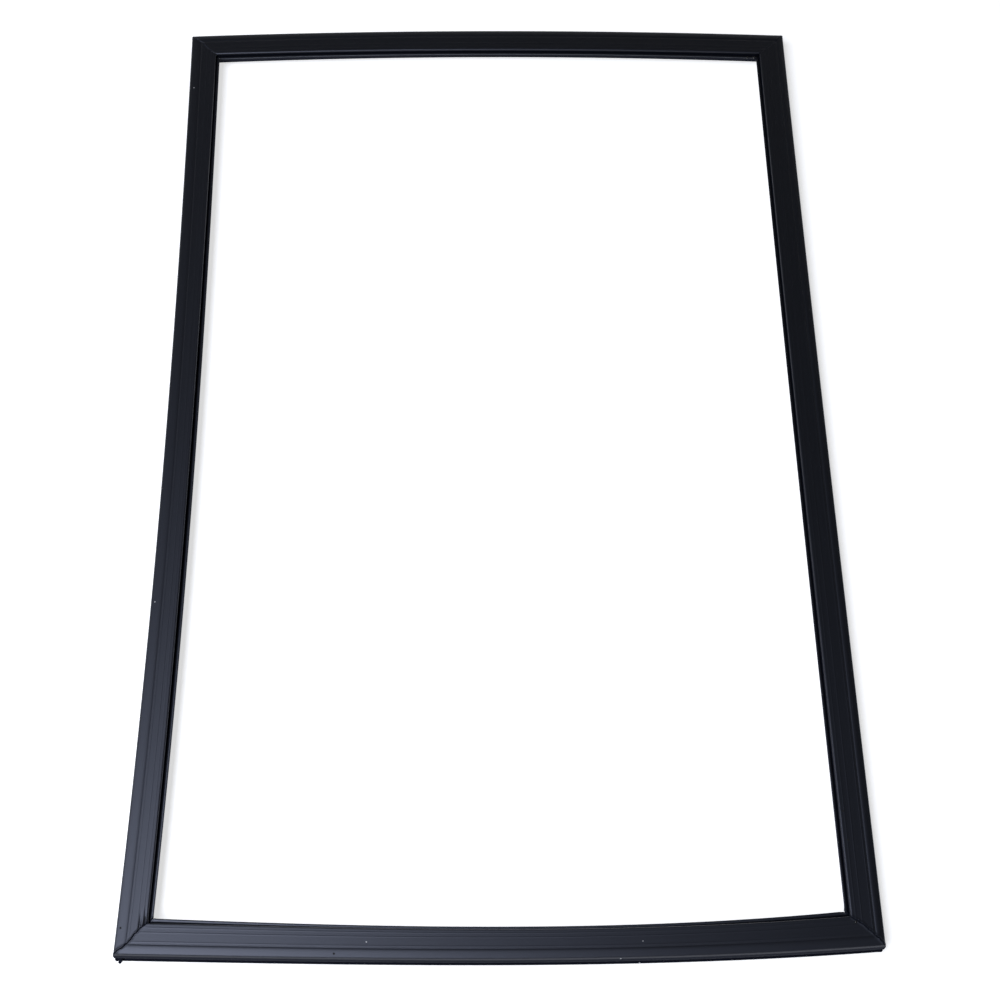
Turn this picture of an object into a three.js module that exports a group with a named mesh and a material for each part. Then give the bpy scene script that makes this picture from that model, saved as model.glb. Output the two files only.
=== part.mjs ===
// Refrigerator door gasket: a hollow extruded soft PVC section, mitred and heat-welded into a frame that lies
// magnet face up, with four flexible magnetic strips loose in its pocket.
// Units are millimetres. X runs along the short sides, Y along the long sides, +Z is up.
// The section is drawn with d, the inset from the frame's outer edge, and z, the height over the dart's tips.
import * as THREE from "three";

// The frame as it lies, over its outer leaves at the corners.
const FRAME = { width: 590, length: 900 };

// The four sides in the order of a walk around the frame, anticlockwise from above.
// bow: how far the middle of the limp side stands outwards (+) or inwards (-) of its corners.
// drift: how much of the bow lies towards the side's end (+) or its start (-); 0 is an even bow.
// lean: how far the sealing face stands outwards (+) or inwards (-) of the base.
const SIDES = [
  { name: "near", bow: 6.8, drift: 0.35, lean: -2.8 },
  { name: "right", bow: -1.1, drift: 0, lean: 0.7 },
  { name: "far", bow: 6.4, drift: 0, lean: -0.8 },
  { name: "left", bow: -6.7, drift: 0.2, lean: -0.5 },
];

// Flexible magnetic strip.
const MAGNET = {
  width: 11.2,
  thickness: 2.5,
  clearance: 0.3, // to each wall of the pocket
  endGap: 12, // from the square-cut end to the pocket's inner corner
};

// Magnet pocket, the box on top of the section. Its top is the sealing face.
const POCKET = {
  side: 1.1, // side wall
  face: 1, // wall over the strip
  floor: 0.9,
  slit: 1.4, // width of the slit in the floor through which the strip is pressed in
  edgeRadius: 1.4, // rounding of the sealing face's inner edge
};

// Fine ribs that run along the sealing face.
const RIB = {
  insets: [1.1, 7.4, 10.6], // from the pocket's outer side to each rib's ridge
  width: 1.2,
  height: 0.2,
};

// Outer leaf, the lip that covers the gap at the door's edge: a low crown, a tight shoulder and a straight edge.
const LEAF = {
  width: 8.1, // from its outer edge to the groove beside the pocket
  thickness: 1.1,
  groove: 0.9, // width of that groove
  grooveDepth: 0.6,
  crownInset: 5, // from the outer edge to the handle that lifts the crown
  crownDrop: 0.4, // from the sealing face down to that handle
  shoulderInset: 1.6,
  shoulderDrop: 1.1, // from the sealing face down to the middle of the wall at the shoulder
  tipDrop: 6.4, // from the sealing face down to the free tip
};

// Bellows, the two thin webs that carry the pocket and let it reach for the cabinet.
const BELLOWS = {
  height: 6.7, // clear height of the chamber between base and pocket
  web: 0.8,
  outerFoot: 1.2, // how far the outer web's foot stands outside its head
  outerBulge: 3, // how far the middle of that web stands outwards
  innerBulge: 1.6, // how far the middle of the inner web stands into the chamber
};

// Base, which bears on the door liner.
const BASE = { wall: 1.3, outerInset: 0.4, chamfer: 0.4 };

// Inner fin, the lip that bears on the liner's step. It rises beside the pocket and flares inwards to its tip.
const FIN = {
  reach: 4.6, // from the pocket's inner side to the fin's tip
  thickness: 0.9,
  height: 8.8, // from the base's top to the tip
  footGap: 1.1, // between the pocket's inner side and the fin's foot
  bendHeight: 5.6, // from the base's top to the handle that bends the fin
  bendReach: 0.5, // how far that handle stands inwards of the foot
};

// Retention dart, two barbed legs that snap into the liner's slot.
const DART = {
  height: 5,
  split: 1.2, // gap between the legs
  stem: 1.5, // thickness of a leg
  barb: 1.5, // how far a barb stands out from its leg
  barbHeight: 2.4, // from the tip to the barb's lower edge
  barbEdge: 0.5,
  undercut: 0.7, // height of the slope from the barb's upper edge back to the leg
  tipLand: 0.9, // flat end of each leg
};

// Heat-welded mitre: a shallow crease along the joint line.
const WELD = { halfWidth: 0.8, depth: 0.2 };

// How finely the curves and the sides are divided.
const STEPS = { crown: 3, shoulder: 5, web: 5, fin: 5, tip: 3, edge: 3, side: 8 };

const PVC = { color: 0x1b1c22, roughness: 0.42, metalness: 0 };
const FERRITE = { color: 0x2e2a27, roughness: 0.8, metalness: 0.1 };

// Heights, from the dart's tips up.
const baseUnder = DART.height;
const baseTop = baseUnder + BASE.wall;
const chamberTop = baseTop + BELLOWS.height;
const pocketFloor = chamberTop + POCKET.floor;
const pocketTop = pocketFloor + MAGNET.thickness + 2 * MAGNET.clearance;
const faceTop = pocketTop + POCKET.face;

// Insets, from the outer edge inwards.
const bulbOuter = LEAF.width + LEAF.groove;
const pocketOuter = bulbOuter + POCKET.side;
const pocketInner = pocketOuter + MAGNET.width + 2 * MAGNET.clearance;
const bulbInner = pocketInner + POCKET.side;
const middle = (bulbOuter + bulbInner) / 2;
const finInner = bulbInner + FIN.reach;

const at = (d, z) => new THREE.Vector2(d, z);

// Both faces of a wall that follows a curve.
function bentWall(curve, thickness, steps) {
  const left = [];
  const right = [];
  for (let i = 0; i <= steps; i++) {
    const point = curve.getPoint(i / steps);
    const tangent = curve.getTangent(i / steps);
    const normal = at(-tangent.y, tangent.x).multiplyScalar(thickness / 2);
    left.push(point.clone().add(normal));
    right.push(point.clone().sub(normal));
  }
  return { left, right };
}

// Both faces of a wall that rises all the way, with its ends cut level.
function risingWall(curve, thickness, steps) {
  const left = [];
  const right = [];
  for (let i = 0; i <= steps; i++) {
    const point = curve.getPoint(i / steps);
    const half = thickness / 2 / curve.getTangent(i / steps).y;
    left.push(at(point.x - half, point.y));
    right.push(at(point.x + half, point.y));
  }
  return { left, right };
}

// A curve from foot to head whose middle stands at the inset given.
function bowedCurve(foot, head, middleInset) {
  const handle = at(2 * middleInset - (foot.x + head.x) / 2, (foot.y + head.y) / 2);
  return new THREE.QuadraticBezierCurve(foot, handle, head);
}

// Points of a clockwise arc between two points, without either, bulging by half their distance.
function roundEnd(from, to, steps) {
  const centre = from.clone().add(to).divideScalar(2);
  const points = [];
  for (let i = 1; i < steps; i++) {
    points.push(from.clone().rotateAround(centre, (-Math.PI * i) / steps));
  }
  return points;
}

// One leg of the dart from its tip up to the base. The side is -1 for the outer leg and 1 for the inner one.
function dartLeg(side) {
  const inside = middle + (side * DART.split) / 2;
  const outside = inside + side * DART.stem;
  const barb = outside + side * DART.barb;
  const barbTop = DART.barbHeight + DART.barbEdge;
  return [
    at(inside, 0),
    at(inside + side * DART.tipLand, 0),
    at(barb, DART.barbHeight),
    at(barb, barbTop),
    at(outside, barbTop + DART.undercut),
    at(outside, baseUnder),
  ];
}

// The leaf from the groove over its crown to the shoulder, and down to its tip. The shoulder's handle lies where the
// crown's last line meets the line of the edge, so the two curves run on smoothly.
function leafWall() {
  const half = LEAF.thickness / 2;
  const root = at(LEAF.width, faceTop - LEAF.grooveDepth - half);
  const crown = at(LEAF.crownInset, faceTop - LEAF.crownDrop);
  const shoulder = at(LEAF.shoulderInset, faceTop - LEAF.shoulderDrop);
  const onward = (half - shoulder.x) / (shoulder.x - crown.x);
  const bend = shoulder.clone().lerp(crown, -onward);
  const tip = at(half, faceTop - LEAF.tipDrop);
  const top = bentWall(new THREE.QuadraticBezierCurve(root, crown, shoulder), LEAF.thickness, STEPS.crown);
  const edge = bentWall(new THREE.QuadraticBezierCurve(shoulder, bend, tip), LEAF.thickness, STEPS.shoulder);
  return {
    left: [...top.left, ...edge.left.slice(1)],
    right: [...top.right, ...edge.right.slice(1)],
  };
}

function outerWeb() {
  const head = at(bulbOuter + POCKET.side / 2, chamberTop);
  const foot = at(head.x - BELLOWS.outerFoot, baseTop);
  return risingWall(bowedCurve(foot, head, foot.x - BELLOWS.outerBulge), BELLOWS.web, STEPS.web);
}

function innerWeb() {
  const head = at(bulbInner - POCKET.side / 2, chamberTop);
  const foot = at(head.x, baseTop);
  return risingWall(bowedCurve(foot, head, foot.x - BELLOWS.innerBulge), BELLOWS.web, STEPS.web);
}

function finWall() {
  const half = FIN.thickness / 2;
  const foot = at(bulbInner + FIN.footGap + half, baseTop);
  const handle = at(foot.x + FIN.bendReach, baseTop + FIN.bendHeight);
  const tip = at(finInner - half, baseTop + FIN.height);
  return risingWall(new THREE.QuadraticBezierCurve(foot, handle, tip), FIN.thickness, STEPS.fin);
}

// The sealing face from its outer edge to its rounded inner edge.
function sealingFace() {
  const points = [at(bulbOuter, faceTop - LEAF.grooveDepth), at(bulbOuter, faceTop)];
  for (const inset of RIB.insets) {
    const ridge = bulbOuter + inset;
    points.push(at(ridge - RIB.width / 2, faceTop));
    points.push(at(ridge, faceTop + RIB.height));
    points.push(at(ridge + RIB.width / 2, faceTop));
  }
  const centre = at(bulbInner - POCKET.edgeRadius, faceTop - POCKET.edgeRadius);
  for (let i = 0; i <= STEPS.edge; i++) {
    const angle = (Math.PI / 2) * (1 - i / STEPS.edge);
    points.push(at(Math.cos(angle), Math.sin(angle)).multiplyScalar(POCKET.edgeRadius).add(centre));
  }
  return points;
}

// The whole extruded section as one closed outline, clockwise with d to the right and z up. It passes through the
// dart's split into the chamber and through the floor's slit into the pocket, so nothing is sealed in.
function sectionOutline() {
  const leaf = leafWall();
  const outer = outerWeb();
  const inner = innerWeb();
  const fin = finWall();
  const baseInner = fin.right[0].x;
  const finTip = [fin.left.at(-1), fin.right.at(-1)];
  const leafTip = [leaf.left.at(-1), leaf.right.at(-1)];
  return [
    ...dartLeg(-1),
    at(BASE.outerInset + BASE.chamfer, baseUnder),
    at(BASE.outerInset, baseUnder + BASE.chamfer),
    at(BASE.outerInset, baseTop),
    ...outer.left,
    at(bulbOuter, faceTop - LEAF.grooveDepth - LEAF.thickness),
    ...leaf.left,
    ...roundEnd(...leafTip, STEPS.tip),
    ...leaf.right.reverse(),
    ...sealingFace(),
    at(bulbInner, chamberTop),
    ...inner.right.reverse(),
    ...fin.left,
    ...roundEnd(...finTip, STEPS.tip),
    ...fin.right.reverse(),
    at(baseInner, baseUnder + BASE.chamfer),
    at(baseInner - BASE.chamfer, baseUnder),
    ...dartLeg(1).reverse(),
    at(middle + DART.split / 2, baseTop),
    ...inner.left,
    at(middle + POCKET.slit / 2, chamberTop),
    at(middle + POCKET.slit / 2, pocketFloor),
    at(pocketInner, pocketFloor),
    at(pocketInner, pocketTop),
    at(pocketOuter, pocketTop),
    at(pocketOuter, pocketFloor),
    at(middle - POCKET.slit / 2, pocketFloor),
    at(middle - POCKET.slit / 2, chamberTop),
    ...outer.right.reverse(),
    at(middle - DART.split / 2, baseTop),
  ];
}

// The outline moved into the material by the weld's crease.
function creasedOutline(outline) {
  const count = outline.length;
  return outline.map((point, i) => {
    const before = point.clone().sub(outline[(i + count - 1) % count]).normalize();
    const after = outline[(i + 1) % count].clone().sub(point).normalize();
    const along = before.add(after).normalize();
    return at(point.x + along.y * WELD.depth, point.y - along.x * WELD.depth);
  });
}

// The corner where a side starts, for the line of the section at inset d and height z.
function corner(index, d, z) {
  const rise = (z - baseUnder) / (faceTop - baseUnder);
  const inset = (i) => d - SIDES[i % 4].lean * rise;
  const halfWidth = FRAME.width / 2;
  const halfLength = FRAME.length / 2;
  const x = index === 1 || index === 2 ? halfWidth - inset(1) : inset(3) - halfWidth;
  const y = index < 2 ? inset(0) - halfLength : halfLength - inset(2);
  return new THREE.Vector3(x, y, z);
}

// A point of a side, with u from -1 at the corner where it starts to 1 where it ends.
function onSide(index, u, d, z) {
  const start = corner(index, d, z);
  const end = corner((index + 1) % 4, d, z);
  const outward = end.clone().sub(start).normalize().cross(new THREE.Vector3(0, 0, 1));
  const point = start.lerp(end, (u + 1) / 2);
  const { bow, drift } = SIDES[index];
  return point.addScaledVector(outward, bow * (1 - u * u) * (1 + drift * u));
}

// The distance u that a length from a side's start takes.
function fromStart(index, length, d, z) {
  return -1 + (2 * length) / corner(index, d, z).distanceTo(corner((index + 1) % 4, d, z));
}

// A solid through a row of equal rings, joined into a loop or closed with flat ends. Each ring runs clockwise
// as seen from ahead of the row.
function solidThrough(rings, loop) {
  const size = rings[0].length;
  const positions = rings.flat().flatMap((p) => p.toArray());
  const indices = [];
  const spans = loop ? rings.length : rings.length - 1;
  for (let i = 0; i < spans; i++) {
    const a = i * size;
    const b = ((i + 1) % rings.length) * size;
    for (let j = 0; j < size; j++) {
      const k = (j + 1) % size;
      indices.push(a + j, b + j, a + k, b + j, b + k, a + k);
    }
  }
  if (!loop) {
    const last = (rings.length - 1) * size;
    for (let j = 1; j < size - 1; j++) {
      indices.push(0, j, j + 1, last, last + j + 1, last + j);
    }
  }
  const geometry = new THREE.BufferGeometry();
  geometry.setAttribute("position", new THREE.Float32BufferAttribute(positions, 3));
  geometry.setIndex(indices);
  geometry.computeVertexNormals();
  return geometry;
}

// The welded frame: the section walked around all four sides, creased at each mitre.
function sealFrame() {
  const outline = sectionOutline();
  const crease = creasedOutline(outline);
  const rings = [];
  SIDES.forEach((side, index) => {
    const weldEdge = (p) => fromStart(index, WELD.halfWidth, p.x, p.y);
    rings.push(crease.map((p) => onSide(index, -1, p.x, p.y)));
    rings.push(outline.map((p) => onSide(index, weldEdge(p), p.x, p.y)));
    for (let i = 1; i < STEPS.side; i++) {
      const u = (2 * i) / STEPS.side - 1;
      rings.push(outline.map((p) => onSide(index, u, p.x, p.y)));
    }
    rings.push(outline.map((p) => onSide(index, -weldEdge(p), p.x, p.y)));
  });
  const mesh = new THREE.Mesh(solidThrough(rings, true), new THREE.MeshStandardMaterial(PVC));
  mesh.name = "seal_frame";
  return mesh;
}

// One magnetic strip, square-cut at both ends, that follows its side's bow inside the pocket.
function magnetStrip(side, index) {
  const outer = pocketOuter + MAGNET.clearance;
  const inner = outer + MAGNET.width;
  const under = pocketFloor + MAGNET.clearance;
  const top = under + MAGNET.thickness;
  const section = [at(outer, under), at(outer, top), at(inner, top), at(inner, under)];
  const rings = [];
  for (let i = 0; i <= STEPS.side; i++) {
    const share = (2 * i) / STEPS.side - 1;
    rings.push(
      section.map((p) => {
        const cut = fromStart(index, pocketInner - p.x + MAGNET.endGap, p.x, p.y);
        return onSide(index, -cut * share, p.x, p.y);
      }),
    );
  }
  const mesh = new THREE.Mesh(solidThrough(rings, false), new THREE.MeshStandardMaterial(FERRITE));
  mesh.name = "magnet_strip_" + side.name;
  return mesh;
}

const gasket = new THREE.Group();
gasket.add(sealFrame());
SIDES.forEach((side, index) => gasket.add(magnetStrip(side, index)));

// The origin is the middle of the footprint, on the surface that the dart's tips stand on.
const footprint = new THREE.Box3().setFromObject(gasket).getCenter(new THREE.Vector3());
gasket.position.set(-footprint.x, -footprint.y, 0);

export default gasket;
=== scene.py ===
# %% [markdown]
# A refrigerator door gasket, dressed for its picture.
#
# The real seal is a hollow strip of soft black PVC. It is drawn by the metre, cut into four lengths with
# 45 degree ends, and the ends are melted together into a frame. A magnetic strip lies loose in the pocket
# of each length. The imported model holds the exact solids. This lesson loads them, lays a finer skin of the
# same section in the same place with Geometry Nodes, and gives each surface its finish.

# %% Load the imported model
from math import cos, pi, radians, sin

import bpy
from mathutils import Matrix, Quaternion, Vector
from mathutils.bvhtree import BVHTree


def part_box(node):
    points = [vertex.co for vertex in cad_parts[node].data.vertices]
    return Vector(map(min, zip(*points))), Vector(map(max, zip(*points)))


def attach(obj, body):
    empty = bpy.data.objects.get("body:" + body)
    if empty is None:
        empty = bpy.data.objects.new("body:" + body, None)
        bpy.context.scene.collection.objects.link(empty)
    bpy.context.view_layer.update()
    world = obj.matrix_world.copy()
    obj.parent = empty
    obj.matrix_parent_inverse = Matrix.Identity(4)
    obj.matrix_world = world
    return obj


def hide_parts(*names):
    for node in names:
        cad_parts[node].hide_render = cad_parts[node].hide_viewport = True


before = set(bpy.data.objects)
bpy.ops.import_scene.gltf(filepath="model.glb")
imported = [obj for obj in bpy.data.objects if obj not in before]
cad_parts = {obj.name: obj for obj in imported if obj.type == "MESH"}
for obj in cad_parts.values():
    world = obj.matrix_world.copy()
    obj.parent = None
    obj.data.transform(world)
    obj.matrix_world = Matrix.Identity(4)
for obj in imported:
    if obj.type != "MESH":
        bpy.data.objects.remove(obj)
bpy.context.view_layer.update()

MM = 0.001
print("packed nodes:", sorted(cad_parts))

# %% [markdown]
# The view comes first. The seal was seen from a little over a metre above the floor and over its near side,
# so the far side looks shorter. A camera could be turned with three angles. Aiming it at a point of the
# floor and rolling it a little is easier to read.

# %% Aim the camera
VIEW_FROM = Vector((-0.0213, -0.6852, 1.2979))
VIEW_AT = Vector((0.0049, -0.0576, 0.0))
VIEW_ROLL = radians(1.77)
VIEW_LENS = 59.4
SENSOR_WIDTH = 36

camera = bpy.data.objects.new("camera", bpy.data.cameras.new("camera"))
bpy.context.scene.collection.objects.link(camera)
camera.data.lens = VIEW_LENS
camera.data.sensor_width = SENSOR_WIDTH
camera.location = VIEW_FROM
camera.rotation_mode = "QUATERNION"
aim = (VIEW_AT - VIEW_FROM).to_track_quat("-Z", "Y")
camera.rotation_quaternion = aim @ Quaternion((0, 0, 1), VIEW_ROLL)
bpy.context.scene.camera = camera
print("camera stands", round((VIEW_AT - VIEW_FROM).length, 3), "m from what it looks at")

# %% [markdown]
# The section is the drawing that the extruder's die is cut from. It is one closed outline, and it passes
# through the split of the dart and the slit of the pocket, so the chamber and the pocket are open to the
# air. The sizes are those of the imported part, in millimetres: d is the inset from the outer edge, and z is
# the height over the tips of the dart. The curves are divided more finely here, to look smooth up close,
# and the few sizes that are a little different on the real seal are set apart: a shallower
# groove, lower ribs, a flatter leaf and a fin that curls over.

# %% Sizes of the section
LEAF = {"width": 8.1, "thick": 1.1, "groove": 0.9, "groove_depth": 0.24, "crown_inset": 6.3,
        "crown_drop": 0.25, "shoulder_inset": 1.6, "shoulder_drop": 1.1, "tip_drop": 6.4}
MAGNET = {"width": 11.2, "thick": 2.5, "clear": 0.3}
POCKET = {"side": 1.1, "face": 1.0, "floor": 0.9, "slit": 1.4, "edge": 1.4}
RIB = {"insets": (1.1, 7.4, 10.6), "width": 1.2, "height": 0.055}
BELLOWS = {"height": 6.7, "web": 0.8, "foot": 1.2, "outer_bulge": 3.0, "inner_bulge": 1.6}
BASE = {"wall": 1.3, "inset": 0.4, "chamfer": 0.4}
FIN = {"reach": 4.6, "thick": 0.9, "height": 8.8, "gap": 1.1, "bend_height": 7.2, "curl": 0.35}
DART = {"height": 5.0, "split": 1.2, "stem": 1.5, "barb": 1.5, "barb_height": 2.4, "barb_edge": 0.5,
        "undercut": 0.7, "land": 0.9}
STEPS = {"leaf": 12, "leaf_edge": 16, "web": 14, "fin": 20, "free_edge": 8, "pocket_edge": 8, "rib": 4}

base_under = DART["height"]
base_top = base_under + BASE["wall"]
chamber_top = base_top + BELLOWS["height"]
pocket_floor = chamber_top + POCKET["floor"]
pocket_top = pocket_floor + MAGNET["thick"] + 2 * MAGNET["clear"]
face_top = pocket_top + POCKET["face"]
bulb_outer = LEAF["width"] + LEAF["groove"]
pocket_outer = bulb_outer + POCKET["side"]
pocket_inner = pocket_outer + MAGNET["width"] + 2 * MAGNET["clear"]
bulb_inner = pocket_inner + POCKET["side"]
middle = (bulb_outer + bulb_inner) / 2
fin_inner = bulb_inner + FIN["reach"]
print("section:", fin_inner, "mm wide and", face_top, "mm high")


# %% Curves and walls of the section
def at(d, z):
    return Vector((d, z))


def bezier(handles, t):
    """The point and the direction of a Bezier curve, by halving the polygon down to one edge."""
    while len(handles) > 2:
        handles = [a.lerp(b, t) for a, b in zip(handles, handles[1:])]
    return handles[0].lerp(handles[1], t), (handles[1] - handles[0]).normalized()


def bent_wall(handles, thick, steps):
    """Both faces of a wall that keeps its thickness along a curve."""
    left, right = [], []
    for i in range(steps + 1):
        point, run = bezier(handles, i / steps)
        half = at(-run.y, run.x) * thick / 2
        left.append(point + half)
        right.append(point - half)
    return left, right


def rising_wall(foot, handle, head, thick, steps):
    """Both faces of a curved wall that rises all the way, with its ends cut level."""
    left, right = [], []
    for i in range(steps + 1):
        point, run = bezier([foot, handle, head], i / steps)
        half = at(thick / 2 / run.y, 0)
        left.append(point - half)
        right.append(point + half)
    return left, right


def bow_handle(foot, head, middle_inset):
    """The handle that takes the middle of a wall to an inset."""
    return at(2 * middle_inset - (foot.x + head.x) / 2, (foot.y + head.y) / 2)


def round_end(start, end, steps=STEPS["free_edge"]):
    """The half circle between the two faces of a free edge, without its ends."""
    centre = (start + end) / 2
    arm = start - centre
    turns = [-pi * i / steps for i in range(1, steps)]
    return [centre + at(arm.x * cos(a) - arm.y * sin(a), arm.x * sin(a) + arm.y * cos(a)) for a in turns]


# %% Parts of the outline
def dart_leg(side):
    inside = middle + side * DART["split"] / 2
    outside = inside + side * DART["stem"]
    barb = outside + side * DART["barb"]
    barb_top = DART["barb_height"] + DART["barb_edge"]
    return [
        at(inside, 0),
        at(inside + side * DART["land"], 0),
        at(barb, DART["barb_height"]),
        at(barb, barb_top),
        at(outside, barb_top + DART["undercut"]),
        at(outside, base_under),
    ]


def leaf_wall():
    """The leaf over its crown to the shoulder, and from there down to its tip."""
    half = LEAF["thick"] / 2
    root = at(LEAF["width"], face_top - LEAF["groove_depth"] - half)
    crown = at(LEAF["crown_inset"], face_top - LEAF["crown_drop"])
    shoulder = at(LEAF["shoulder_inset"], face_top - LEAF["shoulder_drop"])
    onward = (half - shoulder.x) / (shoulder.x - crown.x)
    bend = shoulder + (shoulder - crown) * onward
    tip = at(half, face_top - LEAF["tip_drop"])
    top = bent_wall([root, crown, shoulder], LEAF["thick"], STEPS["leaf"])
    edge = bent_wall([shoulder, bend, tip], LEAF["thick"], STEPS["leaf_edge"])
    return [a + b[1:] for a, b in zip(top, edge)]


def fin_wall():
    """The fin, which stands up and curls over inwards at its top."""
    half = FIN["thick"] / 2
    foot = at(bulb_inner + FIN["gap"] + half, base_top)
    stem = at(foot.x, base_top + FIN["bend_height"])
    crown = at(foot.x + FIN["curl"], base_top + FIN["height"] + FIN["curl"])
    tip = at(fin_inner - half, base_top + FIN["height"] - half / 2)
    return bent_wall([foot, stem, crown, tip], FIN["thick"], STEPS["fin"])


def sealing_face():
    """The top of the pocket, with its fine ribs and its rounded inner edge."""
    points = [at(bulb_outer, face_top - LEAF["groove_depth"]), at(bulb_outer, face_top)]
    for inset in RIB["insets"]:
        ridge = bulb_outer + inset
        half = STEPS["rib"]
        for step in range(-half, half + 1):
            swell = (1 + cos(pi * step / half)) / 2
            points.append(at(ridge + step / (2 * half) * RIB["width"], face_top + swell * RIB["height"]))
    centre = at(bulb_inner - POCKET["edge"], face_top - POCKET["edge"])
    for i in range(STEPS["pocket_edge"] + 1):
        turn = pi / 2 * (1 - i / STEPS["pocket_edge"])
        points.append(centre + at(cos(turn), sin(turn)) * POCKET["edge"])
    return points


def section_outline():
    """The outline, clockwise with d to the right and z up."""
    leaf_left, leaf_right = leaf_wall()
    head = at(bulb_outer + POCKET["side"] / 2, chamber_top)
    foot = at(head.x - BELLOWS["foot"], base_top)
    handle = bow_handle(foot, head, foot.x - BELLOWS["outer_bulge"])
    outer_left, outer_right = rising_wall(foot, handle, head, BELLOWS["web"], STEPS["web"])
    head = at(bulb_inner - POCKET["side"] / 2, chamber_top)
    foot = at(head.x, base_top)
    handle = bow_handle(foot, head, foot.x - BELLOWS["inner_bulge"])
    inner_left, inner_right = rising_wall(foot, handle, head, BELLOWS["web"], STEPS["web"])
    fin_left, fin_right = fin_wall()
    base_inner = fin_right[0].x
    return [
        *dart_leg(-1),
        at(BASE["inset"] + BASE["chamfer"], base_under),
        at(BASE["inset"], base_under + BASE["chamfer"]),
        at(BASE["inset"], base_top),
        *outer_left,
        at(bulb_outer, face_top - LEAF["groove_depth"] - LEAF["thick"]),
        *leaf_left,
        *round_end(leaf_left[-1], leaf_right[-1]),
        *reversed(leaf_right),
        *sealing_face(),
        at(bulb_inner, chamber_top),
        *reversed(inner_right),
        *fin_left,
        *round_end(fin_left[-1], fin_right[-1]),
        *reversed(fin_right),
        at(base_inner, base_under + BASE["chamfer"]),
        at(base_inner - BASE["chamfer"], base_under),
        *reversed(dart_leg(1)),
        at(middle + DART["split"] / 2, base_top),
        *inner_left,
        at(middle + POCKET["slit"] / 2, chamber_top),
        at(middle + POCKET["slit"] / 2, pocket_floor),
        at(pocket_inner, pocket_floor),
        at(pocket_inner, pocket_top),
        at(pocket_outer, pocket_top),
        at(pocket_outer, pocket_floor),
        at(middle - POCKET["slit"] / 2, pocket_floor),
        at(middle - POCKET["slit"] / 2, chamber_top),
        *reversed(outer_right),
        at(middle - DART["split"] / 2, base_top),
    ]


# %% [markdown]
# Hot PVC leaves the die with no sharp corner anywhere. Bevelling the finished frame would round the welds
# as well, so the corners are eased in the drawing: each one that turns by more than 35 degrees becomes a
# short curve. Long straight runs get points in between, which lets the welds pucker them later.

# %% Ease the corners and divide the long runs
EASE = 0.22
LEAST_EASE = 0.05
EASED_TURN = radians(35)
LONGEST = 0.5


def eased(outline):
    points = []
    for i, point in enumerate(outline):
        back = outline[i - 1] - point
        on = outline[(i + 1) % len(outline)] - point
        turn = pi - back.angle(on, pi)
        cut = min(EASE, 0.45 * back.length, 0.45 * on.length)
        if turn < EASED_TURN or cut < LEAST_EASE:
            points.append(point)
            continue
        corner = [point + back.normalized() * cut, point, point + on.normalized() * cut]
        points += [bezier(corner, t)[0] for t in (0, 1 / 3, 2 / 3, 1)]
    return points


def divided(outline, first, last):
    """The outline with points added on its runs over the face, between two insets."""
    points = []
    for i, point in enumerate(outline):
        points.append(point)
        on = outline[(i + 1) % len(outline)]
        over_face = min(point.y, on.y) > face_top - 0.01 and first <= point.x < last
        count = int((on - point).length / LONGEST) if over_face else 0
        points += [point.lerp(on, (k + 1) / (count + 1)) for k in range(count)]
    return points


outline = divided(eased(section_outline()), bulb_outer, bulb_inner)
print("section outline:", len(outline), "points")

# %% [markdown]
# One drawn length is a straight tube of that section. Its rings are close together at both ends, where the
# weld will bend them, and far apart in between. Each point remembers where it belongs: how far along the
# side it is, its distance from the mitre, its inset and its height. The UV map is in metres, along and
# around the length, so marks that the die draws can run along it.

# %% Draw one length of the section
AT_WELD = (0, 0.2, 0.4, 0.65, 0.95, 1.3, 1.8, 2.5, 3.4, 4.6, 6, 8, 10.5, 13.5, 17, 21)
RINGS_BETWEEN = 26
BETWEEN = 0.9
HALF_DRAWN = 450
BULB_MARGIN = 0.6


def stations():
    """For each ring its share of the side, from -1 to 1, and the length that is added to it, in mm."""
    shares = [BETWEEN * (2 * i / (RINGS_BETWEEN - 1) - 1) for i in range(RINGS_BETWEEN)]
    start = [(-1.0, s) for s in AT_WELD]
    end = [(1.0, -s) for s in reversed(AT_WELD)]
    return start + [(share, 0.0) for share in shares] + end


def on_fin(point):
    """How far up the fin a point is, from 0 to 1, squared so that the foot stays where it is."""
    up = max(0.0, (point.y - base_top) / FIN["height"])
    return min(up, 1.0) ** 2 if point.x > bulb_inner + BULB_MARGIN else 0.0


def drawn_length():
    rings = stations()
    size = len(outline)
    runs = [(outline[(j + 1) % size] - outline[j]).length for j in range(size)]
    around = [sum(runs[:j]) * MM for j in range(size + 1)]
    along = [(share * HALF_DRAWN + added) * MM for share, added in rings]
    points = [(x, p.x * MM, p.y * MM) for x in along for p in outline]
    faces, spots = [], []
    for i in range(len(rings) - 1):
        for j in range(size):
            a, b, k = i * size, (i + 1) * size, (j + 1) % size
            faces.append((a + j, b + j, b + k, a + k))
            spots += [(along[i], around[j]), (along[i + 1], around[j])]
            spots += [(along[i + 1], around[j + 1]), (along[i], around[j + 1])]
    mesh = bpy.data.meshes.new("drawn_length")
    mesh.from_pydata(points, [], faces)
    uv = mesh.uv_layers.new(name="drawn")
    uv.data.foreach_set("uv", [value for spot in spots for value in spot])
    remembered = {
        "share": [share for share, _ in rings for _ in outline],
        "added": [added * MM for _, added in rings for _ in outline],
        "inset": [p.x * MM for _ in rings for p in outline],
        "height": [p.y * MM for _ in rings for p in outline],
        "fin": [on_fin(p) for _ in rings for p in outline],
    }
    for name, values in remembered.items():
        mesh.attributes.new(name, "FLOAT", "POINT").data.foreach_set("value", values)
    return mesh


length_mesh = drawn_length()
print("one drawn length:", len(length_mesh.polygons), "faces")


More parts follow.
